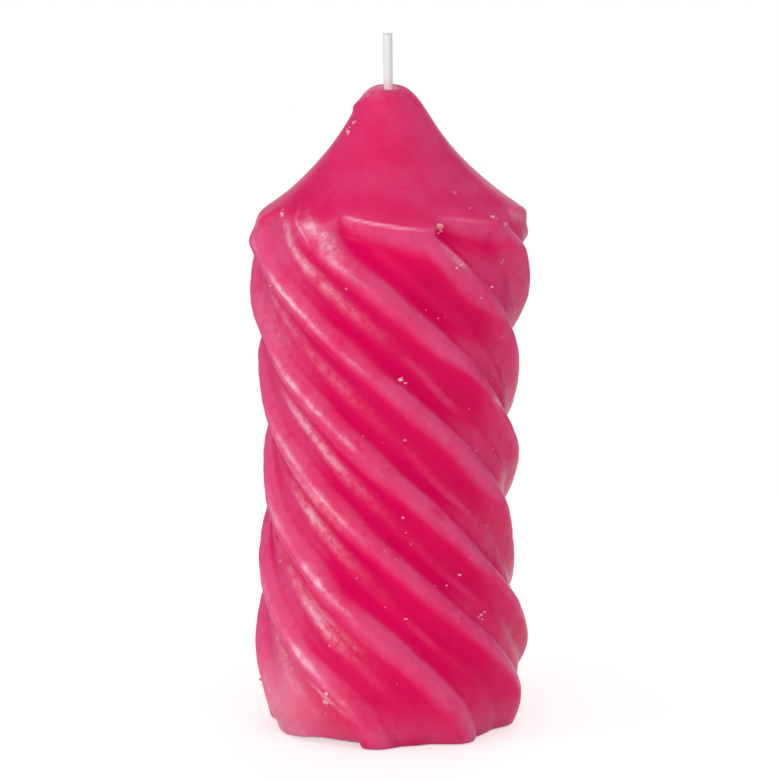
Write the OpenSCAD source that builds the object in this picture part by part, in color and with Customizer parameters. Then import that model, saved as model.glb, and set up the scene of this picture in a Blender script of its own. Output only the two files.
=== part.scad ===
// Twisted pillar candle: a cast wax column with helical ridges and a pointed top, a cored
// cotton wick through its middle and a pressed metal wick sustainer set into its base.
// The origin is the middle of the base and +Z runs up the wick. All sizes are millimetres.

/* [Wax column] */
// Height of the wax, from the base to the tip
wax_h = 150; // [130:1:190]
// Diameter over the ridges at the shoulder, where the pointed top begins
shoulder_d = 66; // [58:0.5:74]
// Diameter over the ridges at the waist
waist_d = 59; // [52:0.5:70]
// Height of the waist above the base
waist_z = 58; // [45:1:75]
// Diameter over the ridges at the swell above the foot
hip_d = 64.5; // [56:0.5:72]
// Height of the swell above the base
hip_z = 16; // [10:1:30]
// Diameter over the ridges at the base
foot_d = 58.5; // [52:0.5:66]

/* [Twisted ridges] */
// Number of main ridges round the column
ridge_count = 8; // [5:1:10]
// Depth of the hollow between two main ridges
hollow_depth = 3; // [1.5:0.1:4.5]
// Width of a main ridge's gentle lower side, as a share of the ridge spacing
lower_share = 0.4; // [0.25:0.01:0.5]
// Width of a main ridge's steep upper side, as a share of the ridge spacing
upper_share = 0.27; // [0.15:0.01:0.4]
// Height of the minor ridge on the floor of each hollow
minor_h = 0.6; // [0:0.1:1.5]
// Width of the minor ridge, as a share of the ridge spacing
minor_share = 0.26; // [0.2:0.01:0.4]
// Place of the minor ridge, as a share of the way from one main ridge up to the next
minor_place = 0.54; // [0.4:0.01:0.6]
// Height in which a ridge goes once round the column
twist_lead = 160; // [120:5:400]
// Height over which the twist slackens towards the base
ease_h = 20; // [5:1:30]
// Share of the full twist that is left at the base
foot_twist = 0.4; // [0:0.05:1]
// Angle of the first ridge at the base, counted from +X
ridge_angle = 37; // [0:1:72]

/* [Shoulder] */
// Height below the shoulder's edge in which the hollows run out into slanting teeth
tooth_h = 5.5; // [3:0.5:12]
// Depth of the step between two teeth
tooth_step = 3; // [1:0.1:4]
// Distance of the teeth's outer corners inside the shoulder's diameter
tooth_inset = 0.8; // [0:0.1:2]

/* [Pointed top] */
// Height of the pointed top above the shoulder
top_h = 31; // [27:0.5:38]
// Radius of the hollow flare between the shoulder and the tip
flare_r = 75; // [62:1:150]
// Radius of the rounded tip
tip_r = 8.5; // [6:0.5:11]
// Width of the level ring of wax round the wick
tip_land = 1.2; // [0.5:0.1:2]

/* [Wick] */
// Diameter of the core thread
core_d = 0.8; // [0.5:0.1:1.5]
// Thickness of the cotton braid round the core
braid_t = 0.7; // [0.4:0.05:1.2]
// Length of wick that stands out of the tip
wick_out = 12; // [6:1:25]
// Gap between the core thread and the braid
core_fit = 0.02; // [0:0.01:0.1]
// Gap between the wick and the wax
wick_fit = 0.05; // [0.02:0.01:0.2]

/* [Base] */
// Diameter of the wick sustainer's disc
sustainer_d = 20; // [14:0.5:26]
// Thickness of the sustainer's sheet metal
sheet_t = 0.3; // [0.2:0.05:0.6]
// Height of the shallow cone pressed into the disc
dish_h = 1; // [0.4:0.1:2]
// Height of the sustainer's neck above its disc
neck_h = 6; // [3:0.5:10]
// Gap between the crimped neck and the wick
crimp_fit = 0.02; // [0:0.01:0.1]
// Depth of the disc's rim inside the base
disc_inset = 0.4; // [0.2:0.1:1]
// Wax of the second pour beside the disc
pour_margin = 5; // [3:0.5:8]
// Depth of the second pour, from the base up
pour_h = 24; // [14:1:40]
// Diameter of the second pour at its upper end
pour_top_d = 12; // [8:0.5:16]
// Gap between two pieces of the base that are set into each other
seat_fit = 0.03; // [0.01:0.01:0.1]

/* [Hidden] */

$fn = 96;
ridge_steps = 12;                   // mesh steps across one ridge and its hollow
column_levels = 36;                 // mesh levels from the base to the foot of the teeth
tooth_levels = 5;                   // mesh levels from there to the shoulder's edge
top_levels = 10;                    // mesh levels from the shoulder's edge to the tip
overcut = 1;                        // how far a cutting shape runs past the face it cuts

wax_colour = "#d8175f";
cotton_colour = "#f2f0ea";
core_colour = "#e6e0d2";
metal_colour = "#c4c6c8";

meridians = ridge_count * ridge_steps;
shoulder_r = shoulder_d / 2;
shoulder_z = wax_h - top_h;
tooth_z = shoulder_z - tooth_h;
ease_loss = (1 - foot_twist) * ease_h / 2;

core_r = core_d / 2;
braid_bore_r = core_r + core_fit;
wick_r = braid_bore_r + braid_t;
bore_r = wick_r + wick_fit;
wick_top = wax_h + wick_out;

// The flare is an arc that meets the shoulder's rim and runs on smoothly into the tip's arc.
flare_reach = (shoulder_r * shoulder_r + top_h * top_h - 2 * tip_r * top_h) / (2 * flare_r) - tip_r;
shoulder_slope = acos(flare_reach / norm([top_h - tip_r, shoulder_r])) - atan2(shoulder_r, top_h - tip_r);
flare_centre_r = shoulder_r + flare_r * sin(shoulder_slope);
flare_centre_z = shoulder_z + flare_r * cos(shoulder_slope);
flare_end_r = tip_r * flare_centre_r / (flare_r + tip_r);
tip_flat_r = bore_r + tip_land;

disc_r = sustainer_d / 2;
neck_bore_r = wick_r + crimp_fit;
neck_r = neck_bore_r + sheet_t;
dish_r = (disc_r + neck_r) / 2;     // where the disc's flat rim ends and its cone begins
disc_top = disc_inset + sheet_t;
neck_top = disc_top + dish_h + neck_h;
pour_r = disc_r + pour_margin;

function mix(a, b, t) = a + (b - a) * t;
function level_ends(t) = (1 - cos(180 * max(0, min(1, t)))) / 2;

// Radius of the main ridges' crests at a height.
function crest_r(z) =
    z < hip_z ? mix(foot_d, hip_d, sin(90 * z / hip_z)) / 2
    : z < waist_z ? mix(hip_d, waist_d, level_ends((z - hip_z) / (waist_z - hip_z))) / 2
    : z < shoulder_z ? mix(waist_d, shoulder_d, level_ends((z - waist_z) / (shoulder_z - waist_z))) / 2
    : shoulder_r;

// Angle that the ridges have turned through between the base and a height.
function turned(z) =
    360 / twist_lead * (z < ease_h ? foot_twist * z + (1 - foot_twist) * z * z / (2 * ease_h) : z - ease_loss);

// Outlines of the ridges, 1 at a crest, for a share u of the way from one main ridge up to the next.
function main_ridge(u) =
    u < upper_share ? 1 - pow(u / upper_share, 2) : level_ends(1 - (1 - u) / lower_share);
function minor_ridge(u) = level_ends(1 - 2 * abs(u - minor_place) / minor_share);

// Distance of the surface inside the crests, along the column and at the shoulder's edge.
function hollow(u) = hollow_depth * (1 - main_ridge(u)) - minor_h * minor_ridge(u);
function tooth(u) = tooth_inset + tooth_step * (1 - (u + 1 - upper_share) % 1);

function column_r(u, z) = crest_r(z) - mix(hollow(u), tooth(u), level_ends((z - tooth_z) / tooth_h));

// Height of the pointed top at a radius.
function top_z(r) =
    r < flare_end_r ? wax_h - tip_r + sqrt(tip_r * tip_r - r * r)
    : flare_centre_z - sqrt(flare_r * flare_r - pow(flare_centre_r - r, 2));

// Height of the edge where a meridian of the column runs into the pointed top.
function edge_z(u) = top_z(column_r(u, shoulder_z));

function on_meridian(j, r, z) =
    let (angle = ridge_angle + 360 * j / meridians - turned(min(z, shoulder_z)))
    [r * cos(angle), r * sin(angle), z];

function ridge_share(j) = (j % ridge_steps) / ridge_steps;

function ring_on_column(height) = [
    for (j = [0 : meridians - 1])
        let (u = ridge_share(j), z = height(u))
        on_meridian(j, column_r(u, z), z)
];
function column_level(i) = ring_on_column(function(u) tooth_z * i / column_levels);
function tooth_level(i) = ring_on_column(function(u) mix(tooth_z, edge_z(u), i / tooth_levels));

function top_level(i) = [
    for (j = [0 : meridians - 1])
        let (r = mix(column_r(ridge_share(j), shoulder_z), tip_flat_r, i / top_levels))
        on_meridian(j, r, top_z(r))
];

// Closed skin through a stack of rings that have the same number of points.
module skin(rings) {
    n = len(rings[0]);
    last = len(rings) - 1;
    polyhedron(
        points = [for (ring = rings) each ring],
        faces = [
            [for (j = [0 : n - 1]) j],
            [for (j = [n - 1 : -1 : 0]) last * n + j],
            for (i = [0 : last - 1], j = [0 : n - 1])
                let (a = i * n + j, b = i * n + (j + 1) % n)
                each [[a, a + n, b], [b, a + n, b + n]]
        ]
    );
}

// Cast wax column, with the wick's bore and the sink hole that the second pour fills.
module wax_column() {
    color(wax_colour)
    difference() {
        skin([
            for (i = [0 : column_levels]) column_level(i),
            for (i = [1 : tooth_levels]) tooth_level(i),
            for (i = [1 : top_levels]) top_level(i)
        ]);
        translate([0, 0, -overcut])
            cylinder(r = bore_r, h = wax_h + 2 * overcut);
        translate([0, 0, -overcut])
            cylinder(r = pour_r + seat_fit, h = overcut);
        cylinder(r1 = pour_r + seat_fit, r2 = pour_top_d / 2 + seat_fit, h = pour_h + seat_fit);
    }
}

// Outline of the sustainer's upper side, grown by a gap, from the axis to the rim.
function sustainer_outline(gap) = [
    [0, neck_top + gap],
    [neck_r + gap, neck_top + gap],
    [neck_r + gap, disc_top + dish_h + gap],
    [dish_r + gap, disc_top + gap],
    [disc_r + gap, disc_top + gap]
];

// Second pour: wax that fills the sink hole and beds the sustainer.
module base_pour() {
    color(wax_colour)
    difference() {
        cylinder(r1 = pour_r, r2 = pour_top_d / 2, h = pour_h);
        translate([0, 0, -overcut])
            cylinder(r = bore_r, h = pour_h + 2 * overcut);
        rotate_extrude()
            polygon([
                [0, -overcut],
                each sustainer_outline(seat_fit),
                [disc_r + seat_fit, -overcut]
            ]);
    }
}

// Cotton braid, a sleeve round the core thread.
module wick_braid() {
    color(cotton_colour)
    translate([0, 0, disc_inset])
    difference() {
        cylinder(r = wick_r, h = wick_top - disc_inset);
        translate([0, 0, -overcut])
            cylinder(r = braid_bore_r, h = wick_top + 2 * overcut);
    }
}

// Core thread that keeps the wick upright.
module wick_core() {
    color(core_colour)
    translate([0, 0, disc_inset])
        cylinder(r = core_r, h = wick_top - disc_inset);
}

// Pressed tab: a dished disc with a neck that is crimped on the foot of the wick.
module wick_sustainer() {
    color(metal_colour)
    rotate_extrude()
    polygon([
        [neck_bore_r, disc_inset + dish_h],
        [neck_bore_r, neck_top],
        [neck_r, neck_top],
        [neck_r, disc_top + dish_h],
        [dish_r, disc_top],
        [disc_r, disc_top],
        [disc_r, disc_inset],
        [dish_r, disc_inset]
    ]);
}

wax_column();
base_pour();
wick_braid();
wick_core();
wick_sustainer();
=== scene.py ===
"""Twisted pillar candle: the looks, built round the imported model.

Sizes are in millimetres and angles in degrees unless a comment says otherwise; Blender works in metres.
+Z is up and the camera looks along +Y. A side is an angle round the axis: 0 faces the camera and 90 is +X.
"""
import math

import bmesh
import bpy
import numpy as np
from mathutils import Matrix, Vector


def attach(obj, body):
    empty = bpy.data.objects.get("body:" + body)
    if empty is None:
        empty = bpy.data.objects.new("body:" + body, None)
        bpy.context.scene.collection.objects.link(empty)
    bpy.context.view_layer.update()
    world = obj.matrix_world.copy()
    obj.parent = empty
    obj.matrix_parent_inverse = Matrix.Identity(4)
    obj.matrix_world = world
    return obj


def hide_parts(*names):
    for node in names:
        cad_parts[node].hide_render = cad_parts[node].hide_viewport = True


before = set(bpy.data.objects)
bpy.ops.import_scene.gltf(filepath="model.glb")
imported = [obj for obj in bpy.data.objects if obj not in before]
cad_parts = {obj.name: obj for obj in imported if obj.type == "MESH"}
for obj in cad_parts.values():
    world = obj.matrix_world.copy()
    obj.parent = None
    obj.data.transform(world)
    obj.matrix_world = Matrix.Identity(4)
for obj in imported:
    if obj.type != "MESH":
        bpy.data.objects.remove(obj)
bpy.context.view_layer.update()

MM = 0.001

# Picture and camera: width and scale of the picture in pixels; the distance and the aim are in metres
IMAGE_W = 780
SENSOR_W = 36.0
PX_PER_MM = 4.293
CAMERA_DIST = 1.015
CAMERA_ELEVATION = math.radians(9.8)
AIM = Vector((-0.15 * MM, 0.0, 78.8 * MM))

# Wax column, as in the solid; shares and places are parts of the step from one ridge's crest to the next
WAX_H = 150.0
SHOULDER_R = 33.0
WAIST_R = 29.5
WAIST_Z = 58.0
HIP_R = 32.25
HIP_Z = 16.0
FOOT_R = 29.25
RIDGES = 8
HOLLOW_DEPTH = 3.0
LOWER_SHARE = 0.4
UPPER_SHARE = 0.27
MINOR_PLACE = 0.54
TWIST_LEAD = 160.0
EASE_H = 20.0
FOOT_TWIST = 0.4
RIDGE_ANGLE = 37.0
TOOTH_H = 5.5
TOP_H = 31.0
FLARE_R = 75.0
TIP_R = 8.5
SHOULDER_Z = WAX_H - TOP_H
TOOTH_Z = SHOULDER_Z - TOOTH_H

# Wick, its bore and the seat of the second pour, as in the solids
WICK_FOOT = 0.4
WICK_TOP = 162.0
CORE_R = 0.4
BORE_R = 1.17
POUR_R = 15.03
POUR_H = 24.03
POUR_TOP_R = 6.03

# Mesh of the wax: its meridians, the levels on each, and the samples that the levels are taken from
STEPS_PER_RIDGE = 36
MERIDIANS = RIDGES * STEPS_PER_RIDGE
LEVELS = 330
BASE_SAMPLES = 40
SIDE_SAMPLES = 700
CONE_SAMPLES = 300
# Rounding of the wax's edges and how many of its widths the smoothing reaches, the wax's mean radius,
# and a distance past any that counts
EDGE_SOFTNESS = 0.55
KERNEL_WIDTHS = 3
MEAN_R = 30
FAR = 100


def make_camera():
    camera = bpy.data.objects.new("camera", bpy.data.cameras.new("camera"))
    bpy.context.collection.objects.link(camera)
    camera.data.sensor_fit = "HORIZONTAL"
    camera.data.sensor_width = SENSOR_W
    camera.data.lens = PX_PER_MM / MM * SENSOR_W * CAMERA_DIST / IMAGE_W
    back = Vector((0.0, -math.cos(CAMERA_ELEVATION), math.sin(CAMERA_ELEVATION)))
    camera.location = AIM + back * CAMERA_DIST
    camera.rotation_euler = (-back).to_track_quat("-Z", "Y").to_euler()
    bpy.context.scene.camera = camera


def mix(a, b, t):
    return a + (b - a) * t


def hump(distance, width):
    return np.exp(-((distance / width) ** 2))


def spot(x, strength, at, spread):
    """So much at one place, fading away on both sides of it."""
    return strength * hump(x - at, spread)


def rise(x, none, full):
    """0 at one place and 1 at the other, level beyond both and smooth between; either may be the lower."""
    return (1 - np.cos(np.pi * np.clip((x - none) / (full - none), 0, 1))) / 2


def waves(angle, z, seed, turns, length, layers):
    """Unevenness of about one unit: waves that are whole round the axis and at least so long up it."""
    rng = np.random.default_rng(seed)
    total = np.zeros_like(z)
    for _ in range(layers):
        around = rng.integers(-turns, turns + 1)
        up = rng.uniform(-1, 1) * 2 * np.pi / length
        total += np.sin(around * angle + up * z + rng.uniform(0, 2 * np.pi))
    return total / math.sqrt(layers / 2)


def turn_off(side, at):
    """Degrees from one side to another, the short way."""
    return (side - at + 180) % 360 - 180


def side_of(angle):
    """Side that an angle in radians from +X faces."""
    return turn_off(np.degrees(angle) + 90, 0)


def crest_r(z):
    foot = mix(FOOT_R, HIP_R, np.sin(np.pi / 2 * np.clip(z / HIP_Z, 0, 1)))
    hip = mix(HIP_R, WAIST_R, rise(z, HIP_Z, WAIST_Z))
    waist = mix(WAIST_R, SHOULDER_R, rise(z, WAIST_Z, SHOULDER_Z))
    return np.where(z < HIP_Z, foot, np.where(z < WAIST_Z, hip, waist))


def turned(z):
    eased = FOOT_TWIST * z + (1 - FOOT_TWIST) * z * z / (2 * EASE_H)
    full = z - (1 - FOOT_TWIST) * EASE_H / 2
    return 360 / TWIST_LEAD * np.where(z < EASE_H, eased, full)


def top_profile():
    """Flare's centre and end radius, so that it meets the shoulder's rim and runs on into the tip's arc."""
    drop = TOP_H - TIP_R
    reach = (SHOULDER_R**2 + TOP_H**2 - 2 * TIP_R * TOP_H) / (2 * FLARE_R) - TIP_R
    slope = math.acos(reach / math.hypot(drop, SHOULDER_R)) - math.atan2(SHOULDER_R, drop)
    centre_r = SHOULDER_R + FLARE_R * math.sin(slope)
    centre_z = SHOULDER_Z + FLARE_R * math.cos(slope)
    return centre_r, centre_z, TIP_R * centre_r / (FLARE_R + TIP_R)


FLARE_CENTRE_R, FLARE_CENTRE_Z, FLARE_END_R = top_profile()


def top_z(r):
    flare = FLARE_CENTRE_Z - np.sqrt(np.maximum(FLARE_R**2 - (FLARE_CENTRE_R - r) ** 2, 0))
    tip = WAX_H - TIP_R + np.sqrt(np.maximum(TIP_R**2 - r**2, 0))
    return np.where(r < FLARE_END_R, tip, flare)


# From here on, u is the share of the step from one ridge's crest to the next.
# A pair of places, heights, radii or sides for rise() is where something is nothing and where it is full.
# A hump for spot() is its strength, place and spread. Waves are their seed, the most of them round the axis,
# their least length and how many are added up.

# Ridges, softer than in the solid: the brow's ease and its share, and a lower minor ridge, gone at one side
BROW_EASE = 0.05
BROW_SOFTNESS = 0.5
MINOR_H = 0.35
MINOR_SHARE = 0.30
MINOR_FOOT = (1, 17)
MINOR_GONE_SIDE = 90
MINOR_GONE_SPREAD = 35
RIDGE_WANDER = 0.8
RIDGE_WAVES = (5, 3, 60, 9)

# Foot: hollows filled at the left, and the base's edge lifted, sloping up from one side to a break at another
FOOT_FILL = 1.0
FOOT_FILL_SIDE = -55
FOOT_FILL_SPREAD = 32
FOOT_FILL_Z = (22, 4)
FOOT_LIFT = 1.3
FOOT_LIFT_SIDES = (-62, -14)
FOOT_LIFT_SLOPE = 30
FOOT_LIFT_H = 5
FOOT_LIFT_R = (23, 27)

# Wear of the ridges' upper ends: side of the end and share; the others take the figure for the rest
RIM_WEAR = ((23, 0.25), (-22, 1.0), (68, 0.5), (-67, 0.1))
RIM_WEAR_REST = 0.4
RIM_WEAR_SPREAD = 20
# Rim: its inset, its step at each tooth, the steps' rounding in meridians, and the power of the top's blend
RIM_INSET = 1.6
RIM_STEP = 4.2
RIM_ROUND = 1.0
RIM_ROUND_REACH = 24
RIM_BLEND = 6
# Cut of a worn end: depth, place and spread across the ridge, and height
RIM_CUT = 2.0
RIM_CUT_AT = 0.12
RIM_CUT_SPREAD = 0.2
RIM_CUT_H = 7

# Tip: the wax closes on the wick, is fuller at the back and has a dish (depth at the front and at the back)
SEAL_R = 1.1
TIP_FULL = 1.0
TIP_FULL_R = 4.2
TIP_FULL_SPREAD = 2.3
TIP_DISH = (1.4, 0.2)
TIP_DISH_R = 2.0

# Swells of the skin: side, height, how far out, and spread round the axis and in height
SWELLS = (
    (90, 120, 0.8, 45, 8),
    (90, 90, -0.85, 45, 12),
    (90, 63, 0.5, 45, 8),
    (90, 42, -1.75, 45, 9),
    (90, 144, 0.4, 60, 5),
    (90, 14, 0.6, 40, 7),
    (-90, 52, 0.7, 45, 10),
    (-90, 24, -0.5, 40, 6),
    (-70, 1, -0.9, 35, 4),
    (-85, 117, 1.6, 26, 4.5),
    (82, 118, 0.6, 26, 4.5),
    (85, 126, 0.4, 40, 9),
    (-90, 10, 0.35, 35, 5),
    (90, 1, -0.5, 35, 5),
    (-86, 145.4, 0.6, 12, 1.0),
)

# Unevenness of the skin, how much calmer the pointed top is, the height up to which the skin counts as base,
# and the radii where the unevenness and the swells set in
SKIN_WANDER = 0.18
SKIN_WAVES = (3, 9, 14, 9)
DENTS = 0.035
DENT_WAVES = (11, 40, 5, 16)
CONE_CALM = 0.7
BASE_Z = 1
BASE_HELD = (POUR_R + 1, POUR_R + 10)
TIP_HELD = (3, 31)
TIP_SWOLLEN = (2, 5)

# Lean of the axis towards +X, by height
LEAN_Z = (0, 105, 122, 138, 148, 165)
LEAN_X = (0, 0, 0.35, 0.0, -0.55, -0.7)


def main_ridge(u):
    """Height of a ridge, 1 on its crest and 0 in the hollow; the steep side after the crest is its brow."""
    brow = np.maximum(1 - (u / UPPER_SHARE) ** 2, 0)
    brow = mix(brow, rise(u, UPPER_SHARE + BROW_EASE, 0), BROW_SOFTNESS)
    return np.where(u < 0.5, brow, rise(u, 1 - LOWER_SHARE, 1))


def minor_ridge(u):
    return rise(np.abs(u - MINOR_PLACE), MINOR_SHARE / 2, 0)


def swell(angle, z):
    total = 0 * z
    for at, height, out, spread, tall in SWELLS:
        total += out * hump(turn_off(side_of(angle), at), spread) * hump(z - height, tall)
    return total


def dents(angle, z):
    return SKIN_WANDER * waves(angle, z, *SKIN_WAVES) + DENTS * waves(angle, z, *DENT_WAVES)


def lean(z):
    return np.interp(z, LEAN_Z, LEAN_X)


def round_smooth(values, width):
    """Gaussian smoothing of one value per meridian, round the axis."""
    reach = RIM_ROUND_REACH
    kernel = hump(np.arange(-reach, reach + 1), width * math.sqrt(2))
    padded = np.concatenate([values[-reach:], values, values[:reach]])
    return np.convolve(padded, kernel / kernel.sum(), mode="valid")


def rim_inset(u, side):
    """How far the rim stands inside the shoulder on every meridian, and how worn the ridge's end is there.

    The rim runs out from each ridge's foot to the next ridge's end, where it steps back in.
    A worn end slopes back.
    """
    wear = np.full(len(u), RIM_WEAR_REST)
    for at, share in RIM_WEAR:
        wear = mix(wear, share, np.exp(-((turn_off(side, at) / RIM_WEAR_SPREAD) ** 4)))
    inward = 1 - (u + 1 - UPPER_SHARE) % 1
    slope = np.where(u < UPPER_SHARE, rise(u, 0, UPPER_SHARE), 0)
    inward = np.maximum(inward, wear * slope)
    return RIM_INSET + RIM_STEP * round_smooth(inward, RIM_ROUND), wear


def crest_shares():
    """Share of the step from one crest to the next on every meridian."""
    return (np.arange(MERIDIANS) % STEPS_PER_RIDGE) / STEPS_PER_RIDGE


def wax_side(u, start, inset, wear):
    """r, z and angle up the side of every meridian, from the base to the rim."""
    rim = top_z(SHOULDER_R - inset)
    z = np.linspace(0, 1, SIDE_SAMPLES) * rim
    angle = start - np.radians(turned(np.minimum(z, SHOULDER_Z)))
    angle = angle + np.radians(RIDGE_WANDER) * waves(start + 0 * z, z, *RIDGE_WAVES)
    side = side_of(angle)
    filled = FOOT_FILL * hump(turn_off(side, FOOT_FILL_SIDE), FOOT_FILL_SPREAD) * rise(z, *FOOT_FILL_Z)
    gone = hump(turn_off(side, MINOR_GONE_SIDE), MINOR_GONE_SPREAD)
    minor = MINOR_H * minor_ridge(u) * rise(z, *MINOR_FOOT) * (1 - gone)
    inward = HOLLOW_DEPTH * (1 - main_ridge(u)) * (1 - filled) - minor
    inward = mix(inward, inset, rise(z, TOOTH_Z, SHOULDER_Z))
    cut = RIM_CUT * wear * hump(u - RIM_CUT_AT, RIM_CUT_SPREAD) * rise(z - rim, -RIM_CUT_H, 0)
    return crest_r(z) - inward - cut, z, angle


def wax_cone(rim_r, rim_z, angle):
    """r and z of the pointed top on every meridian, from just past the rim to the wick."""
    along = np.linspace(0, 1, CONE_SAMPLES)[1:]
    r = mix(rim_r, SEAL_R, along)
    z = top_z(r) + (rim_z - top_z(rim_r)) * (1 - along) ** RIM_BLEND
    back = (1 + np.sin(angle)) / 2
    full = TIP_FULL * back * hump(r - TIP_FULL_R, TIP_FULL_SPREAD)
    return r, z + full - mix(*TIP_DISH, back) * hump(r, TIP_DISH_R)


def wax_profiles():
    """r, z, angle and run from the rim on every meridian, from the second pour's edge to the wick."""
    u = crest_shares()
    start = np.radians(RIDGE_ANGLE + 360 * np.arange(MERIDIANS) / MERIDIANS)
    inset, wear = rim_inset(u, np.degrees(start) - turned(SHOULDER_Z) + 90)
    r, z, angle = wax_side(*(values[:, None] for values in (u, start, inset, wear)))
    cone_r, cone_z = wax_cone(r[:, -1:], z[:, -1:], angle[:, -1:])
    base_r = mix(POUR_R, r[:, :1], np.linspace(0, 1, BASE_SAMPLES)[:-1])

    rim_at = base_r.shape[1] + z.shape[1] - 1
    r = np.concatenate([base_r, r, cone_r], axis=1)
    z = np.concatenate([0 * base_r, z, cone_z], axis=1)
    angle = np.concatenate([angle[:, :1] + 0 * base_r, angle, angle[:, -1:] + 0 * cone_r], axis=1)
    return [even_levels(*row, rim_at) for row in zip(r, z, angle)]


def even_levels(r, z, angle, rim_at):
    """One meridian at evenly spaced levels, with its edges rounded."""
    run = np.concatenate([[0], np.cumsum(np.hypot(np.diff(r), np.diff(z)))])
    even = np.linspace(0, run[-1], LEVELS)
    step = even[1]
    half = int(math.ceil(KERNEL_WIDTHS * EDGE_SOFTNESS / step))
    kernel = hump(np.arange(-half, half + 1) * step, EDGE_SOFTNESS * math.sqrt(2))
    kernel /= kernel.sum()

    def smooth(values):
        padded = np.pad(np.interp(even, run, values), half, mode="reflect", reflect_type="odd")
        return np.convolve(padded, kernel, mode="valid")

    return smooth(r), smooth(z), np.interp(even, run, angle), even - run[rim_at]


def roughen(r, z, angle):
    """The skin with its swells, dents and the broken edge of the base."""
    held = np.where(z < BASE_Z, rise(r, *BASE_HELD), rise(r, *TIP_HELD))
    swollen = np.where(z < BASE_Z, held, rise(r, *TIP_SWOLLEN))
    held = held * (1 - CONE_CALM * rise(z, TOOTH_Z, SHOULDER_Z))
    first, last = (turn_off(side_of(angle), at) for at in FOOT_LIFT_SIDES)
    lifted = rise(first, 0, FOOT_LIFT_SLOPE) * (last < 0)
    lift = FOOT_LIFT * lifted * hump(z, FOOT_LIFT_H) * rise(r, *FOOT_LIFT_R)
    return r + swollen * swell(angle, z) + held * dents(angle, z), z + lift


# Bloom, the wax's pale film, with painted sheen on the exposed brows, from crest to crest: full on the brow,
# none in the hollows; its edges wander
BLOOM_AND_SHEEN_AT = (0, 0.03, 0.125, 0.19, 0.215, 0.235, 0.26, 0.30, 0.84, 0.88, 0.91, 0.94, 0.97, 1)
BLOOM_AND_SHEEN_SHARE = (0.88, 1.0, 1.16, 1.12, 0.84, 0.38, 0.08, 0, 0, 0.08, 0.28, 0.60, 0.80, 0.88)
BLOOM_WANDER = 0.014
BLOOM_WAVES = (41, 12, 9, 14)
EDGE_WANDER = 0.03
EDGE_WAVES = (43, 5, 36, 9)
EDGE_FROM = 0.7
# Painted shade on the brows' upper part at the front left, where it turns from the light: strength, side and
# spread, and the places on the brow where it sets in
BROW_SHADE = (0.3, -20, 16)
BROW_SHADE_PLACES = (0.03, 0.11)

# Painted highlight on the minor ridge: strength at the left and at the right, its edges, place, patches and
# upper end
MINOR_HIGHLIGHT = (0.08, 0.42)
MINOR_HIGHLIGHT_SIDES = (2, 18)
MINOR_HIGHLIGHT_EDGE = (0.08, 0.03)
MINOR_SHIFT = 0.05
MINOR_SHIFT_SIDES = (8, 32)
MINOR_MEAN = 0.65
MINOR_SWING = 0.45
MINOR_LIMITS = (0.1, 1)
MINOR_WAVES = (47, 7, 24, 9)
MINOR_HIGHLIGHT_TOP = (0, -14)

# Pale wax under the rim: its strength, its reach at a brow's foot and how much that grows by the next one,
# the share of the reach where it is full, and the place on the brow from which it fades
FLANK_BLOOM = 0.9
FLANK_REACH = 2.5
FLANK_DRIFT = 11
FLANK_FULL = 0.2
FLANK_END = 0.12

# Paler wax at the foot; bloom of the pointed top, with painted shade at its left and painted sheen at its
# right; and bloom of the base
FOOT_BLOOM = 0.50
FOOT_BLOOM_Z = (13, 2)
CONE_BLOOM = 0.57
CONE_RIM = (0.20, 5, 4)
CONE_LEFT_SHADE = (0.18, -55, 30)
CONE_RIGHT_SHEEN = (0.2, 62, 30)
CONE_EDGE = (-0.3, 0.6)
BASE_BLOOM = 0.5
BASE_SKIN_Z = 0.05

# Painted sheen on the left, where the light from the left falls, with clearer flanks and a thinner stretch
LEFT_SHEEN = 0.78
LEFT_SHEEN_FRONT = (-26, -56)
LEFT_SHEEN_BACK = (-150, -100)
LEFT_SHEEN_FLANK = (0.9, 0.74, 0.22)
LEFT_SHEEN_THIN = (0.7, -80, 26)
LEFT_SHEEN_THIN_Z = (1, 50, 22)

# Painted reflection on the surfaces that face right: two humps shift its front edge across each ridge, and it
# changes with the height
RIGHT_SHEEN = 0.36
RIGHT_FRONT = (38, 54)
RIGHT_BACK = (140, 90)
RIGHT_EARLY = (14, 0.33, 0.14)
RIGHT_LATE = (-6, 0.7, 0.15)
RIGHT_Z = (0, 24, 50, 110)
RIGHT_SHARE = (0, 0.75, 1, 1.35)


# Painted sheen and reflection: paler wax on the left side and on the right-facing surfaces, where light falls
# and reflects
def painted_sheen_mark(u, side, z):
    left = LEFT_SHEEN * rise(side, *LEFT_SHEEN_FRONT) * rise(side, *LEFT_SHEEN_BACK) * (1 - spot(u, *LEFT_SHEEN_FLANK))
    left = left * (1 - spot(side, *LEFT_SHEEN_THIN) * spot(z, *LEFT_SHEEN_THIN_Z))
    facing = side + spot(u, *RIGHT_EARLY) + spot(u, *RIGHT_LATE)
    right = RIGHT_SHEEN * rise(facing, *RIGHT_FRONT) * rise(side, *RIGHT_BACK)
    return left + right * np.interp(z, RIGHT_Z, RIGHT_SHARE)


def flank_bloom(u, from_rim):
    deep = FLANK_REACH + FLANK_DRIFT * ((u - UPPER_SHARE) % 1)
    flank = FLANK_BLOOM * rise(from_rim, -deep, -FLANK_FULL * deep)
    return flank * np.where(u < UPPER_SHARE, rise(u, UPPER_SHARE, FLANK_END), 1)


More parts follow.
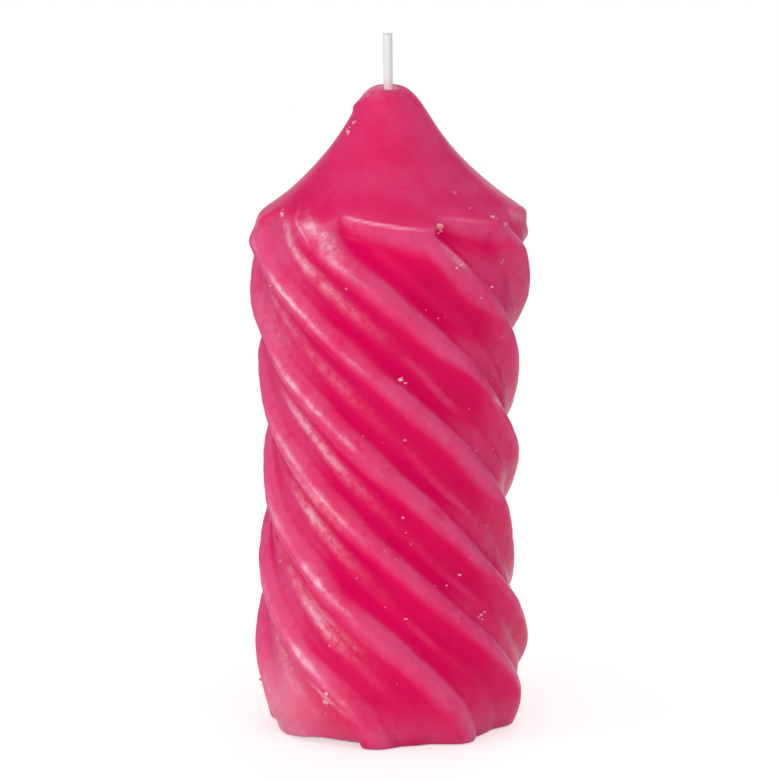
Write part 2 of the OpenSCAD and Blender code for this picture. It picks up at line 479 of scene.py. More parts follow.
def minor_highlight(u, angle, side, z, from_rim):
    """Painted highlight on the minor ridge; u comes with its wander."""
    place = MINOR_PLACE - MINOR_SHIFT * rise(side, *MINOR_SHIFT_SIDES)
    share = rise(np.abs(u - place), *MINOR_HIGHLIGHT_EDGE) * mix(*MINOR_HIGHLIGHT, rise(side, *MINOR_HIGHLIGHT_SIDES))
    patches = np.clip(MINOR_MEAN + MINOR_SWING * waves(angle, z, *MINOR_WAVES), *MINOR_LIMITS)
    return share * patches * rise(from_rim, *MINOR_HIGHLIGHT_TOP)


# Pale share: bloom with painted sheen on the brows, a painted highlight on the minor ridge, pale wax under
# the rim, painted sheen at the sides, a paler foot, and the pointed top's bloom with its painted shade and
# sheen
def bloom_and_sheen_mark(u, angle, side, z, from_rim, painted_sheen):
    wander = BLOOM_WANDER * waves(angle, z, *BLOOM_WAVES)
    wander = wander + EDGE_WANDER * waves(angle, z, *EDGE_WAVES) * (u > EDGE_FROM)
    # Painted shade: the brows' upper part is less pale round one side
    thin = spot(side, *BROW_SHADE) * rise(u, *BROW_SHADE_PLACES)
    ridge = np.interp((u + wander) % 1, BLOOM_AND_SHEEN_AT, BLOOM_AND_SHEEN_SHARE) * (1 - thin)
    # Painted highlight on the minor ridge
    ridge = ridge + minor_highlight(u + wander, angle, side, z, from_rim)
    foot = FOOT_BLOOM * rise(z, *FOOT_BLOOM_Z)
    pale_share = np.maximum.reduce([ridge, flank_bloom(u, from_rim), painted_sheen, foot])
    # Pointed top: painted shade at its left and painted sheen at its right
    cone = CONE_BLOOM - spot(from_rim, *CONE_RIM) - spot(side, *CONE_LEFT_SHADE) + spot(side, *CONE_RIGHT_SHEEN)
    pale_share = mix(pale_share, cone, rise(from_rim, *CONE_EDGE))
    return np.where(z < BASE_SKIN_Z, BASE_BLOOM, pale_share)


# Dry frost where the crests are worn, and painted highlights on them where the light from the left falls:
# side, spread and share, and the share elsewhere
FROST_AND_GLINT_SIDES = ((-42, 21, 0.95), (150, 45, 0.4))
FROST_REST = 0.03
FROST_TOP = (-0.5, -2.5)
FROST_FOOT = (3, 15)

# Its lines on the main and the minor crests, frost and painted highlights, each a broad and a narrow one:
# share and width, and their place
BROW_LINES = ((0.5, 0.065), (1.2, 0.028))
BROW_LINES_AT = 0.05
BEAD_MEAN = 0.75
BEAD_SWING = 0.35
BEAD_LIMITS = (0.2, 1.3)
BEAD_WAVES = (31, 8, 9, 9)
MINOR_LINES = ((0.7, 0.095), (0.2, 0.045))
MINOR_LINES_AT = MINOR_PLACE + 0.04
PATCH_MEAN = 0.85
PATCH_SWING = 0.3
PATCH_WAVES = (21, 6, 22, 9)


def frost_and_glint_mark(u, angle, side, z, from_rim):
    from_brow = (u - BROW_LINES_AT + 0.5) % 1 - 0.5
    main = sum(share * hump(from_brow, width) for share, width in BROW_LINES)
    beads = np.clip(BEAD_MEAN + BEAD_SWING * waves(angle, z, *BEAD_WAVES), *BEAD_LIMITS)
    minor = sum(share * hump(u - MINOR_LINES_AT, width) for share, width in MINOR_LINES)
    patches = PATCH_MEAN + PATCH_SWING * waves(angle, z, *PATCH_WAVES)
    # Frost on worn crests, with painted highlights strongest on the left side
    worn_and_lit = FROST_REST + sum(share * hump(turn_off(side, at), spread) for at, spread, share in FROST_AND_GLINT_SIDES)
    return (main * beads + minor * patches) * worn_and_lit * rise(from_rim, *FROST_TOP) * rise(z, *FROST_FOOT)


# Scuffs, drawn out along the ridges: side, height, spread in degrees and in height, strength
SCUFFS = (
    (-38, 120, 3.5, 2.2, 1.0),
    (-29, 117, 3, 3, 0.8),
    (-23, 113, 2.5, 3, 0.7),
    (-45, 120, 0.9, 2.2, 1.3),
    (-28, 12, 1.5, 3, 0.9),
    (-66, 96, 6, 5, 0.2),
    (-36, 58, 5, 6, 0.45),
    (-33, 31, 5, 7, 0.4),
    (-20, 103, 4, 7, 0.3),
    (56, 79, 2.5, 1.2, 0.8),
    (76, 121, 7, 2, 0.35),
    (28, 113, 2, 2, 0.6),
    (-85, 148.8, 45, 1.2, 0.6),
)
# Share of scuff that follows the painted sheen
SHEEN_SCUFF = 0.05
# Pale ring round the wick: its strength, how far it is full and how far it fades
BORE_SCUFF = 0.9
BORE_SCUFF_FULL = 0.5
BORE_SCUFF_FADE = 0.9


def scuff_mark(side, z, from_rim, from_bore, painted_sheen):
    ring = BORE_SCUFF * hump(np.maximum(from_bore - BORE_SCUFF_FULL, 0), BORE_SCUFF_FADE)
    # The painted sheen adds a little scuff
    scuff = SHEEN_SCUFF * painted_sheen * rise(from_rim, *FROST_TOP) + ring
    for at, height, spread, tall, strength in SCUFFS:
        across = turn_off(side + 360 / TWIST_LEAD * (z - height), at)
        scuff = scuff + strength * hump(across, spread) * hump(z - height, tall)
    return scuff


# Wax that has faded evenly: at the left of the foot, and in a bright line on one brow under the rim
FOOT_FADED = 0.29
FOOT_FADED_SPREAD = 24
FOOT_FADED_Z = (26, 8)
FLASH = (0.4, 0.20, 0.022)
FLASH_FIRST = (20, 24)
FLASH_LAST = (37, 31)
FLASH_Z = (104, 108)
# Painted highlights along the rim: the two sides that each runs between, and its strength; their ends and
# half-width
RIM_GLINTS = ((-27, 20, 0.8), (24, 58, 0.2))
RIM_GLINT_FIRST = 8
RIM_GLINT_LAST = 20
RIM_GLINT_W = 0.3
MARK_LIMITS = (0, 1.3)


def faded_and_glint_mark(u, side, z, from_rim):
    faded_and_glint = FOOT_FADED * hump(turn_off(side, FOOT_FILL_SIDE), FOOT_FADED_SPREAD) * rise(z, *FOOT_FADED_Z)
    faded_and_glint = faded_and_glint + spot(u, *FLASH) * rise(side, *FLASH_FIRST) * rise(side, *FLASH_LAST) * rise(z, *FLASH_Z)
    # Painted highlights along the rim
    for first, last, strength in RIM_GLINTS:
        line = rise(side, first, first + RIM_GLINT_FIRST) * rise(side, last, last - RIM_GLINT_LAST)
        faded_and_glint = faded_and_glint + strength * line * hump(from_rim, RIM_GLINT_W)
    return faded_and_glint


def wax_marks(angle, z, from_rim, from_bore):
    """Shares of bloom with painted sheen, frost with painted highlights, scuffs, and faded wax with painted
    rim highlights at every point of the skin.
    """
    u = crest_shares()[:, None] + 0 * z
    side = side_of(angle)
    painted_sheen = painted_sheen_mark(u, side, z)
    marks = {
        "pale_share": bloom_and_sheen_mark(u, angle, side, z, from_rim, painted_sheen),
        "frost_and_glint": frost_and_glint_mark(u, angle, side, z, from_rim),
        "scuff": scuff_mark(side, z, from_rim, from_bore, painted_sheen),
        "faded_and_glint": faded_and_glint_mark(u, side, z, from_rim),
    }
    return {name: np.clip(values, *MARK_LIMITS) for name, values in marks.items()}


def grid_faces(around, along, closed_along):
    steps = along if closed_along else along - 1
    i, l = np.meshgrid(np.arange(around), np.arange(steps), indexing="ij")
    k, m = (i + 1) % around, (l + 1) % along
    corners = [i * along + l, k * along + l, k * along + m, i * along + m]
    return np.stack(corners, axis=-1).reshape(-1, 4)


def link_object(name, mesh):
    obj = bpy.data.objects.new(name, mesh)
    bpy.context.collection.objects.link(obj)
    return obj


def grids_object(name, grids):
    """One object from grids of points[around, along, xyz] in millimetres, each closed round.

    A grid that isn't closed along as well gets caps on its two ends.
    """
    verts, faces, first = [], [], 0
    for points, closed_along in grids:
        around, along, _ = points.shape
        verts.append(points.reshape(-1, 3) * MM)
        faces += (grid_faces(around, along, closed_along) + first).tolist()
        if not closed_along:
            ring = first + np.arange(around) * along
            faces += [ring[::-1].tolist(), (ring + along - 1).tolist()]
        first += around * along
    mesh = bpy.data.meshes.new(name)
    mesh.from_pydata(np.concatenate(verts).tolist(), [], faces)
    mesh.shade_smooth()
    return link_object(name, mesh)


def write_marks(obj, **marks):
    for name, values in marks.items():
        flat = values.ndim == 2
        layer = obj.data.attributes.new(name, "FLOAT" if flat else "FLOAT_VECTOR", "POINT")
        layer.data.foreach_set("value" if flat else "vector", values.astype(np.float32).ravel())


def dress(obj, node, mat):
    obj.data.materials.append(mat)
    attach(obj, "root")
    if node:
        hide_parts(node)


# Inside of the wax, from the wick's bore down to the seat of the second pour
INNER_R = (BORE_R, BORE_R, BORE_R, POUR_TOP_R, mix(POUR_TOP_R, POUR_R, 0.5))
INNER_Z = (WAX_H - 8, 80, POUR_H, POUR_H, POUR_H / 2)


def make_wax():
    """The wax in one skin, down the bore and round the second pour's seat; gives the outer skin's points."""
    r, z, angle, from_rim = (np.array(rows) for rows in zip(*wax_profiles()))
    marks = wax_marks(angle, z, from_rim, r - BORE_R + FAR * (z < SHOULDER_Z))
    r, z = roughen(r, z, angle)
    start = np.radians(360 * np.arange(MERIDIANS) / MERIDIANS)[:, None] + 0 * z
    rest = np.stack([MEAN_R * np.cos(start), MEAN_R * np.sin(start), from_rim], axis=-1) * MM

    blank = np.zeros((MERIDIANS, len(INNER_R)))
    all_r = np.concatenate([r, np.array(INNER_R) + blank], axis=1)
    all_z = np.concatenate([z, np.array(INNER_Z) + blank], axis=1)
    all_angle = np.concatenate([angle, angle[:, -1:] + blank], axis=1)
    points = np.stack([all_r * np.cos(all_angle) + lean(all_z), all_r * np.sin(all_angle), all_z], axis=-1)
    wax = grids_object("wax_body", [(points, True)])
    write_marks(wax, rest=np.concatenate([rest, rest[:, -1:] + blank[:, :, None]], axis=1))
    write_marks(wax, **{name: np.concatenate([values, blank], axis=1) for name, values in marks.items()})
    dress(wax, "wax_column", wax_material())
    return points[:, : r.shape[1]]


# Crumbs that stick to the wax: side, height and size
CRUMBS = (
    (23, 121, 2.0), (24, 119.5, 1.2), (27, 114, 0.9), (29, 112.5, 0.7), (27, 112, 0.6), (5, 86, 1.2),
    (58, 120, 0.9), (52, 122, 0.9), (43, 124, 0.7), (-56, 142, 0.9), (-59, 140, 1.0), (-63, 122, 1.0),
    (51, 106, 0.8), (-19, 107, 0.7), (-56, 106, 0.7), (-86, 97, 1.3), (7, 72, 0.7), (6, 54, 0.8),
    (10, 48, 0.6), (-65, 41, 0.9), (35, 40, 0.7), (7, 31, 0.7), (46, 30, 0.9), (48, 30.5, 0.6),
    (-28, 11, 1.3), (-28, 13, 0.9), (-73, 12, 0.9),
)
# Small ones all round: number, heights and sizes
SMALL_CRUMBS = 80
SMALL_CRUMB_Z = (3, 140)
SMALL_CRUMB_SIZE = (0.2, 0.5)
CRUMB_SEED = 29
CRUMB_FLOOR_Z = 0.3
# A lump: its radius for a size of one, how long, wide and thick it is for that, and its broken faces
LUMP_R = 0.65
LUMP_LONG = 1.3
LUMP_WIDE = (0.6, 0.9)
LUMP_THICK = (0.4, 0.7)
LUMP_FACETS = 7
LUMP_FACET_AT = 0.55
LUMP_LEAST = 0.01
LUMP_STANDS = 0.15
# Chips broken off a big crumb: from which size, how many, how far aside and how large
CHIPS_FROM = 0.8
CHIPS = 3
CHIP_STANDS = 0.1
CHIP_ASIDE = 0.55
CHIP_SIZE = (0.35, 0.6)


def skin_spot(skin, side, height):
    """Point of the skin nearest to a side and a height, and its outward direction, in millimetres."""
    arc_per_degree = math.radians(MEAN_R)
    off = turn_off(np.degrees(np.arctan2(skin[..., 1], skin[..., 0])) + 90, side) * arc_per_degree
    far = np.hypot(off, skin[..., 2] - height) + FAR * (skin[..., 2] < CRUMB_FLOOR_Z)
    i, l = np.unravel_index(np.argmin(far), far.shape)
    across = skin[(i + 1) % MERIDIANS, l] - skin[i - 1, l]
    along = skin[i, min(l + 1, skin.shape[1] - 1)] - skin[i, l - 1]
    out = np.cross(across, along)
    return skin[i, l], out / np.linalg.norm(out)


def lump(bm, rng, place, size):
    """One flattened, broken lump of wax."""
    made = bmesh.ops.create_icosphere(bm, subdivisions=2, radius=1)["verts"]
    stretch = LUMP_R * size * np.array([LUMP_LONG, rng.uniform(*LUMP_WIDE), rng.uniform(*LUMP_THICK)])
    facets = rng.normal(size=(LUMP_FACETS, 3))
    facets /= np.linalg.norm(facets, axis=1, keepdims=True)
    turn = Vector(rng.normal(size=3)).normalized().to_track_quat("Z", "Y")
    for vert in made:
        body = np.array(vert.co)
        for facet in facets:
            body = body * min(1.0, LUMP_FACET_AT / max(LUMP_LEAST, body @ facet))
        vert.co = (turn @ Vector(body * stretch) + Vector(place)) * MM


def crumb(bm, rng, place, out, size):
    """A lump partly sunk in the skin; a big crumb has smaller ones broken off beside it."""
    lump(bm, rng, place + out * LUMP_STANDS * size, size)
    for _ in range(CHIPS if size > CHIPS_FROM else 0):
        aside = np.cross(out, rng.normal(size=3))
        chip = place + out * CHIP_STANDS * size + CHIP_ASIDE * size * aside
        lump(bm, rng, chip, size * rng.uniform(*CHIP_SIZE))


def make_crumbs(skin):
    rng = np.random.default_rng(CRUMB_SEED)
    bm = bmesh.new()
    sides = rng.uniform(-180, 180, SMALL_CRUMBS)
    heights = rng.uniform(*SMALL_CRUMB_Z, SMALL_CRUMBS)
    sizes = rng.uniform(*SMALL_CRUMB_SIZE, SMALL_CRUMBS)
    for side, height, size in [*CRUMBS, *zip(sides, heights, sizes)]:
        crumb(bm, rng, *skin_spot(skin, side, height), size)
    mesh = bpy.data.meshes.new("wax_crumbs")
    bm.to_mesh(mesh)
    bm.free()
    dress(link_object("wax_crumbs", mesh), None, crumb_material())


# Braid: strands of each hand, their mean radius, weave and half-widths, and how far they fray at the end
WICK_SAMPLES = 560
STRANDS = 4
BRAID_R = 0.83
WEAVE = 0.06
STRAND_W = 0.34
STRAND_T = 0.19
STRAND_SIDES = 8
BRAID_PITCH = 9.0
FRAY = 0.06
FRAY_H = 2.5
# Coat of wax between the strands: its radius, room round the core and how far short of the end it stops
COAT_R = 1.06
COAT_CLEAR = 0.02
COAT_SHORT = 0.12
COAT_SAMPLES = 200
COAT_SIDES = 24
# Core thread
PLIES = 3
PLY_R = 0.19
PLY_SIDES = 6
PLY_OFFSET = 0.2
PLY_PITCH = 3.2


def strand(z, r, theta, half_w, half_t, sides):
    """Tube of oval section round the path that the radius and the turn give, leaning as the wax does."""
    centre = np.stack([r * np.cos(theta) + lean(z), r * np.sin(theta), z], axis=-1)
    along = np.gradient(centre, axis=0)
    along /= np.linalg.norm(along, axis=1, keepdims=True)
    radial = np.stack([np.cos(theta), np.sin(theta), 0 * z], axis=-1)
    across = np.cross(along, radial)
    q = np.linspace(0, 2 * np.pi, sides, endpoint=False)[:, None, None]
    return centre + half_w * np.cos(q) * across + half_t * np.sin(q) * radial


def braid_grids(z):
    turn = 2 * np.pi * z / BRAID_PITCH
    weave = WEAVE * np.cos(STRANDS * turn)
    fray = FRAY * rise(z, WICK_TOP - FRAY_H, WICK_TOP)
    grids = []
    for k in range(STRANDS):
        at = 2 * np.pi * k / STRANDS
        for hand in (1, -1):
            r = BRAID_R + fray + hand * weave
            grids.append((strand(z, r, hand * turn + at, STRAND_W, STRAND_T, STRAND_SIDES), False))
    return grids


def coat_grid():
    """Sleeve of wax round the core, closed at both ends."""
    end_r = [CORE_R + COAT_CLEAR]
    r = np.concatenate([end_r, np.full(COAT_SAMPLES, COAT_R), end_r])
    z = np.linspace(WICK_FOOT, WICK_TOP - COAT_SHORT, COAT_SAMPLES)
    z = np.concatenate([z[:1], z, z[-1:]])
    q = np.linspace(0, 2 * np.pi, COAT_SIDES, endpoint=False)[:, None]
    return np.stack([r * np.cos(q) + lean(z), r * np.sin(q), z + 0 * q], axis=-1), True


def thread_grids(z):
    grids = []
    for k in range(PLIES):
        theta = 2 * np.pi * (z / PLY_PITCH + k / PLIES)
        grids.append((strand(z, PLY_OFFSET + 0 * z, theta, PLY_R, PLY_R, PLY_SIDES), False))
    return grids


def make_wick():
    z = np.linspace(WICK_FOOT, WICK_TOP, WICK_SAMPLES)
    plait = grids_object("wick_plait", [*braid_grids(z), coat_grid()])
    dress(plait, "wick_braid", cotton_material("waxed_cotton", WAXED_WHITE))
    thread = grids_object("wick_thread", thread_grids(z))
    dress(thread, "wick_core", cotton_material("core_cotton", RAW_WHITE))


# Where most of a noise's values lie
NOISE_SPAN = (0.3, 0.7)
NOISE_CORE = (0.35, 0.65)


class Graph:
    """Short way to add and link the nodes of a material or a world."""

    def __init__(self, tree):
        self.tree = tree

    def put(self, node, inputs):
        for key, value in inputs.items():
            if isinstance(value, bpy.types.NodeSocket):
                self.tree.links.new(value, node.inputs[key])
            else:
                node.inputs[key].default_value = value

    def add(self, kind, inputs, **settings):
        node = self.tree.nodes.new("ShaderNode" + kind)
        for key, value in settings.items():
            setattr(node, key, value)
        self.put(node, inputs)
        return node

    def math(self, operation, a, b):
        return self.add("Math", {0: a, 1: b}, operation=operation).outputs[0]

    def times(self, a, b):
        return self.math("MULTIPLY", a, b)

    def weighted(self, *terms):
        """Sum of values, each times its weight."""
        total = self.times(*terms[0])
        for value, weight in terms[1:]:
            total = self.math("ADD", total, self.times(value, weight))
        return total

    def noise(self, place, scale, detail, rough=0.55):
        inputs = {"Vector": place, "Scale": scale, "Detail": detail, "Roughness": rough}
        return self.add("TexNoise", inputs).outputs["Fac"]

    def ramp(self, value, span, low, high):
        """Smooth step from low at the span's start to high at its end."""
        inputs = {"Value": value, "From Min": span[0], "From Max": span[1], "To Min": low, "To Max": high}
        return self.add("MapRange", inputs, interpolation_type="SMOOTHSTEP").outputs["Result"]

    def blend(self, share, a, b):
        inputs = {"Factor": share, "A": a, "B": b}
        return self.add("Mix", inputs, data_type="RGBA").outputs["Result"]

    def mark(self, name, output="Fac"):
        return self.add("Attribute", {}, attribute_name=name).outputs[output]

    def stretch(self, place, x, y, z):
        return self.add("VectorMath", {0: place, 1: (x, y, z)}, operation="MULTIPLY").outputs[0]

    def from_axis(self, place):
        """Distance from the candle's axis, in metres."""
        flat = self.stretch(place, 1, 1, 0)
        return self.add("VectorMath", {0: flat}, operation="LENGTH").outputs["Value"]

    def relief(self, height, distance, strength):
        inputs = {"Height": height, "Distance": distance * MM, "Strength": strength}
        return self.add("Bump", inputs).outputs[0]


def new_material(name):
    mat = bpy.data.materials.new(name)
    mat.use_nodes = True
    graph = Graph(mat.node_tree)
    place = graph.add("TexCoord", {}).outputs["Object"]
    return mat, graph, mat.node_tree.nodes["Principled BSDF"], place


def colour(r, g, b):
    return (r, g, b, 1.0)


DEEP_PINK = colour(0.785, 0.0006, 0.117)
PALE_PINK = colour(0.80, 0.089, 0.255)
# Pale colour of frost, faded wax and scuffs, and of the painted highlights on the crests and the rim
FROST_AND_GLINT_PINK = colour(0.95, 0.53, 0.635)
SPECK_PINK = colour(0.84, 0.36, 0.46)
CRUMB_PINK = colour(0.96, 0.28, 0.40)
CRUMB_WHITE = colour(1.0, 0.66, 0.70)
WAXED_WHITE = (colour(0.89, 0.89, 0.885), colour(0.94, 0.94, 0.935))
DRAWN_PINK = colour(0.93, 0.50, 0.60)
RAW_WHITE = (colour(0.62, 0.57, 0.48), colour(0.78, 0.74, 0.66))
TIN = (colour(0.52, 0.52, 0.53), colour(0.66, 0.66, 0.67))

# Patterns of the wax, from broad clouds to fine grain: scale per metre and detail
WAX_NOISES = {
    "cloud": (55, 4),
    "mottle": (120, 2),
    "blotch": (230, 3),
    "thin": (330, 2),
    "flake": (620, 2),
    "grain": (1300, 3),
}
# Fibres drawn out along the ridges: scale, detail and stretch
FIBRE_SCALE = 900
FIBRE_DETAIL = 3
FIBRE_STRETCH = 0.14
# How the patterns vary the pale share, bloom and painted sheen alike: span of the noise, and the share's
# factor at both its ends
BLOOM_FACTORS = {
    "cloud": (NOISE_SPAN, 0.72, 1.18),
    "blotch": (NOISE_SPAN, 0.86, 1.10),
    "mottle": (NOISE_SPAN, 0.76, 1.16),
    "thin": ((0.60, 0.70), 1.0, 0.6),
}
FROST_SPAN = (0.40, 0.60)
FROST_ROUGHNESS = 0.2
SPECK_SCALE = 260
SPECK_SHARE = 0.10
SPECK_STRENGTH = 0.45
# Ragged edges of the specks: scale and reach of the noise that moves them, in cells; and the dots' radii
RAGGED_SCALE = 6
RAGGED_REACH = 0.6
SPECK_REACH = (0.05, 0.16)


def wax_scatter(graph, bsdf):
    graph.put(bsdf, {
        "Subsurface Weight": 1.0,
        "Subsurface Radius": (1.0, 0.12, 0.3),
        "Subsurface Scale": 0.007,
        "IOR": 1.18,
        "Specular IOR Level": 0.4,
    })


def specks(graph, place, scale, share):
    """Sparse dots of uneven size."""
    noise = graph.add("TexNoise", {"Vector": place, "Scale": RAGGED_SCALE * scale, "Detail": 1.0})
    reach = (RAGGED_REACH / scale,) * 3
    moved = {0: noise.outputs["Color"], 1: reach, 2: place}
    ragged = graph.add("VectorMath", moved, operation="MULTIPLY_ADD").outputs[0]
    cells = graph.add("TexVoronoi", {"Vector": ragged, "Scale": scale}, feature="F1").outputs
    kind = graph.add("SeparateColor", {0: cells["Color"]}).outputs
    dot = graph.math("LESS_THAN", cells["Distance"], graph.ramp(kind[1], (0.0, 1.0), *SPECK_REACH))
    return graph.times(dot, graph.math("LESS_THAN", kind[0], share))


def wax_noises(graph, place):
    noises = {name: graph.noise(place, *kind) for name, kind in WAX_NOISES.items()}
    along = graph.stretch(graph.mark("rest", "Vector"), 1, 1, FIBRE_STRETCH)
    noises["fibre"] = graph.noise(along, FIBRE_SCALE, FIBRE_DETAIL)
    return noises


def wax_frost_and_glint(graph, noises):
    """Frost and painted highlights on the crests, and scuffs, all broken up into flakes."""
    patch = graph.weighted((noises["blotch"], 0.4), (noises["flake"], 0.4), (noises["grain"], 0.2))
    broken = graph.weighted((noises["fibre"], 0.2), (patch, 0.8))
    frost_and_glint = graph.times(graph.mark("frost_and_glint"), graph.ramp(broken, FROST_SPAN, low=0.24, high=1.0))
    scuff = graph.times(graph.mark("scuff"), graph.ramp(patch, FROST_SPAN, low=0.28, high=1.0))
    return graph.math("MAXIMUM", frost_and_glint, scuff)


def wax_colour(graph, place, noises, frost_and_glint):
    # Pale share of bloom, painted sheen and painted highlights, varied by the patterns
    pale_share = graph.mark("pale_share")
    for name, factors in BLOOM_FACTORS.items():
        pale_share = graph.times(pale_share, graph.ramp(noises[name], *factors))
    pink = graph.blend(pale_share, DEEP_PINK, PALE_PINK)
    faded_and_glint = graph.blend(graph.mark("faded_and_glint"), pink, FROST_AND_GLINT_PINK)
    frosted = graph.blend(frost_and_glint, faded_and_glint, FROST_AND_GLINT_PINK)
    dots = graph.times(specks(graph, place, SPECK_SCALE, SPECK_SHARE), SPECK_STRENGTH)
    return graph.blend(dots, frosted, SPECK_PINK)


def wax_material():
    mat, graph, bsdf, place = new_material("dyed_wax")
    wax_scatter(graph, bsdf)
    noises = wax_noises(graph, place)
    frost_and_glint = wax_frost_and_glint(graph, noises)
    satin = graph.ramp(noises["cloud"], NOISE_SPAN, low=0.26, high=0.36)
    fibres = graph.times(noises["fibre"], frost_and_glint)
    height = graph.weighted((noises["blotch"], 0.7), (fibres, 0.4), (noises["grain"], 0.12))
    graph.put(bsdf, {
        "Base Color": wax_colour(graph, place, noises, frost_and_glint),
        "Roughness": graph.math("ADD", satin, graph.times(frost_and_glint, FROST_ROUGHNESS)),
        "Normal": graph.relief(height, distance=0.35, strength=0.5),
    })
    return mat


# Ripples of the second pour, in radians per metre, and how far its clouds bend them
RIPPLES = 2400.0
RIPPLE_BEND = 9.0


def pour_material():
    """Wax of the second pour: ripples of the flow round the wick, and a duller skin."""
    mat, graph, bsdf, place = new_material("poured_wax")
    wax_scatter(graph, bsdf)
    cloud = graph.noise(place, scale=160, detail=4)
    phase = graph.weighted((graph.from_axis(place), RIPPLES), (cloud, RIPPLE_BEND))
    pale_share = graph.ramp(cloud, NOISE_SPAN, low=0.15, high=0.8)
    graph.put(bsdf, {
        "Base Color": graph.blend(pale_share, DEEP_PINK, PALE_PINK),
        "Roughness": graph.ramp(cloud, NOISE_SPAN, low=0.38, high=0.52),
        "Normal": graph.relief(graph.math("SINE", phase, 0), distance=0.12, strength=0.4),
    })
    return mat


def crumb_material():
    mat, graph, bsdf, place = new_material("wax_crumb")
    patch = graph.noise(place, scale=700, detail=2)
    pits = graph.noise(place, scale=3000, detail=2)
    graph.put(bsdf, {
        "Base Color": graph.blend(graph.ramp(patch, NOISE_CORE, 0.0, 1.0), CRUMB_PINK, CRUMB_WHITE),
        "Roughness": graph.ramp(patch, NOISE_SPAN, low=0.40, high=0.60),
        "Normal": graph.relief(pits, distance=0.1, strength=0.4),
    })
    return mat


# Heights, in metres, between which the pink of the wax fades out on the wick
DRAWN_SPAN = ((WAX_H - 1.5) * MM, (WAX_H + 2.5) * MM)


def cotton_material(name, tones):
    """Yarn: fine fibres along the strands, uneven wax in them, pink where it has drawn up the dyed wax."""
    mat, graph, bsdf, place = new_material(name)
    fibre = graph.noise(graph.stretch(place, 1, 1, 0.25), scale=5200, detail=3)
    soak = graph.noise(place, scale=450, detail=2)
    bright = graph.ramp(fibre, NOISE_SPAN, low=0.2, high=1.0)
    tone = graph.times(bright, graph.ramp(soak, NOISE_SPAN, low=0.7, high=1.0))
    height = graph.add("SeparateXYZ", {0: place}).outputs["Z"]
    drawn = graph.ramp(height, DRAWN_SPAN, low=0.7, high=0.0)
    graph.put(bsdf, {
        "Base Color": graph.blend(drawn, graph.blend(tone, *tones), DRAWN_PINK),
        "Roughness": graph.ramp(soak, NOISE_SPAN, low=0.42, high=0.62),
        "Normal": graph.relief(fibre, distance=0.06, strength=0.5),
    })
    return mat


def tin_material():
    """Tinned sheet: turned rings from the press, and dull spots."""
    mat, graph, bsdf, place = new_material("tinned_sheet")
    out = graph.add("CombineXYZ", {0: graph.from_axis(place)}).outputs[0]
    rings = graph.noise(out, scale=5000, detail=2)
    spots = graph.noise(place, scale=420, detail=3)
    graph.put(bsdf, {
        "Base Color": graph.blend(graph.ramp(spots, NOISE_CORE, 0.0, 1.0), *TIN),
        "Metallic": 1.0,
        "Roughness": graph.ramp(spots, NOISE_SPAN, low=0.46, high=0.30),
        "Normal": graph.relief(rings, distance=0.05, strength=0.3),
    })
    return mat


def dress_node(name, mat):
    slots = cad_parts[name].data.materials
    slots.clear()
    slots.append(mat)


# Studio: levels of the light, and places and sizes in metres
AMBIENT = 0.43
FRONT_LEVEL = 0.02
BACKDROP_SPAN = (0.8, 1.0)
FLOOR_R = 0.30
FLOOR_Z = -0.0002
FLOOR_SIDES = 96
FLOOR_GREY = colour(0.75, 0.75, 0.75)
FLOOR_LIFT = 0.55
WHITE = colour(1, 1, 1)
LAMP_TARGET = Vector((0, 0, 0.08))
# Place, size, watts, and whether it shows in reflections
LAMPS = {
    "left": ((-0.95, -0.50, 0.22), (0.20, 0.26), 3.0, True),
    "front": ((-0.10, -1.05, 0.36), (0.8, 0.6), 3.2, False),
    "right": ((0.62, -0.88, 0.35), (0.6, 0.6), 1.4, False),
    "top": ((-0.1, -0.25, 1.1), (0.9, 0.6), 1.0, False),
    "back": ((0.3, 1.05, 0.5), (0.9, 0.7), 3.0, False),
}


def area_light(name, location, size, power, mirrored):
    lamp = bpy.data.objects.new(name, bpy.data.lights.new(name, "AREA"))
    bpy.context.collection.objects.link(lamp)
    lamp.data.shape = "RECTANGLE"
    lamp.data.size, lamp.data.size_y = size
    lamp.data.energy = power
    lamp.visible_glossy = mirrored
    lamp.location = location
    lamp.rotation_euler = (Vector(location) - LAMP_TARGET).to_track_quat("Z", "Y").to_euler()


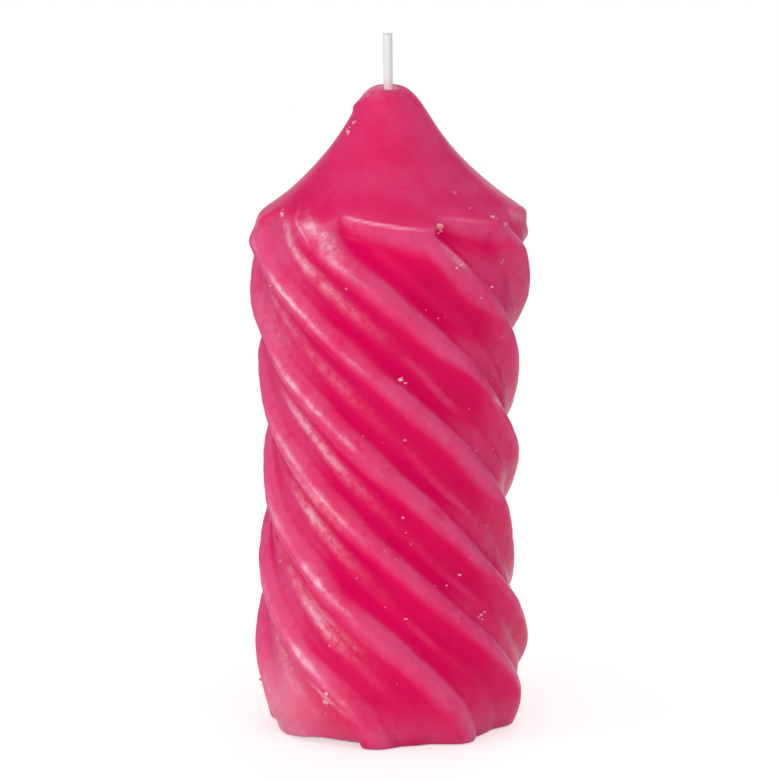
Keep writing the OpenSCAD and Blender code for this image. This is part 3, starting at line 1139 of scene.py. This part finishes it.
def seen_rays(graph):
    """Two sockets: 1 for the camera's rays, and 1 for those and for what a mirror or glass looks at."""
    path = graph.add("LightPath", {}).outputs
    mirror = graph.math("MAXIMUM", path["Is Glossy Ray"], path["Is Transmission Ray"])
    return path["Is Camera Ray"], graph.math("MAXIMUM", path["Is Camera Ray"], mirror)


def make_world():
    """Even soft light; reflections see a white backdrop behind the object and a dim room in front of it."""
    world = bpy.data.worlds.new("studio")
    bpy.context.scene.world = world
    world.use_nodes = True
    graph = Graph(world.node_tree)
    ambient = world.node_tree.nodes["Background"]
    graph.put(ambient, {"Color": WHITE, "Strength": AMBIENT})
    direction = graph.add("TexCoord", {}).outputs["Generated"]
    depth = graph.add("SeparateXYZ", {0: direction}).outputs["Y"]
    camera_ray, seen = seen_rays(graph)
    level = graph.math("MAXIMUM", camera_ray, graph.ramp(depth, BACKDROP_SPAN, FRONT_LEVEL, 1.0))
    backdrop = graph.add("Background", {"Color": WHITE, "Strength": level})
    both = graph.add("MixShader", {0: seen, 1: ambient.outputs[0], 2: backdrop.outputs[0]})
    graph.put(world.node_tree.nodes["World Output"], {"Surface": both.outputs[0]})


def make_floor():
    turn = np.linspace(0, 2 * np.pi, FLOOR_SIDES, endpoint=False)
    edge = [(FLOOR_R * math.cos(t), FLOOR_R * math.sin(t), FLOOR_Z) for t in turn]
    mesh = bpy.data.meshes.new("floor")
    mesh.from_pydata(edge, [], [tuple(range(FLOOR_SIDES))])
    floor = link_object("floor", mesh)
    mat, graph, bsdf, _ = new_material("floor")
    _, seen = seen_rays(graph)
    graph.put(bsdf, {
        "Base Color": FLOOR_GREY,
        "Roughness": 0.9,
        "Emission Color": WHITE,
        "Emission Strength": graph.times(seen, FLOOR_LIFT),
    })
    mesh.materials.append(mat)


def make_stage():
    make_world()
    make_floor()
    for name, lamp in LAMPS.items():
        area_light(name, *lamp)


make_camera()
bpy.context.scene.view_settings.view_transform = "Standard"
make_stage()
make_crumbs(make_wax())
make_wick()
dress_node("base_pour", pour_material())
dress_node("wick_sustainer", tin_material())
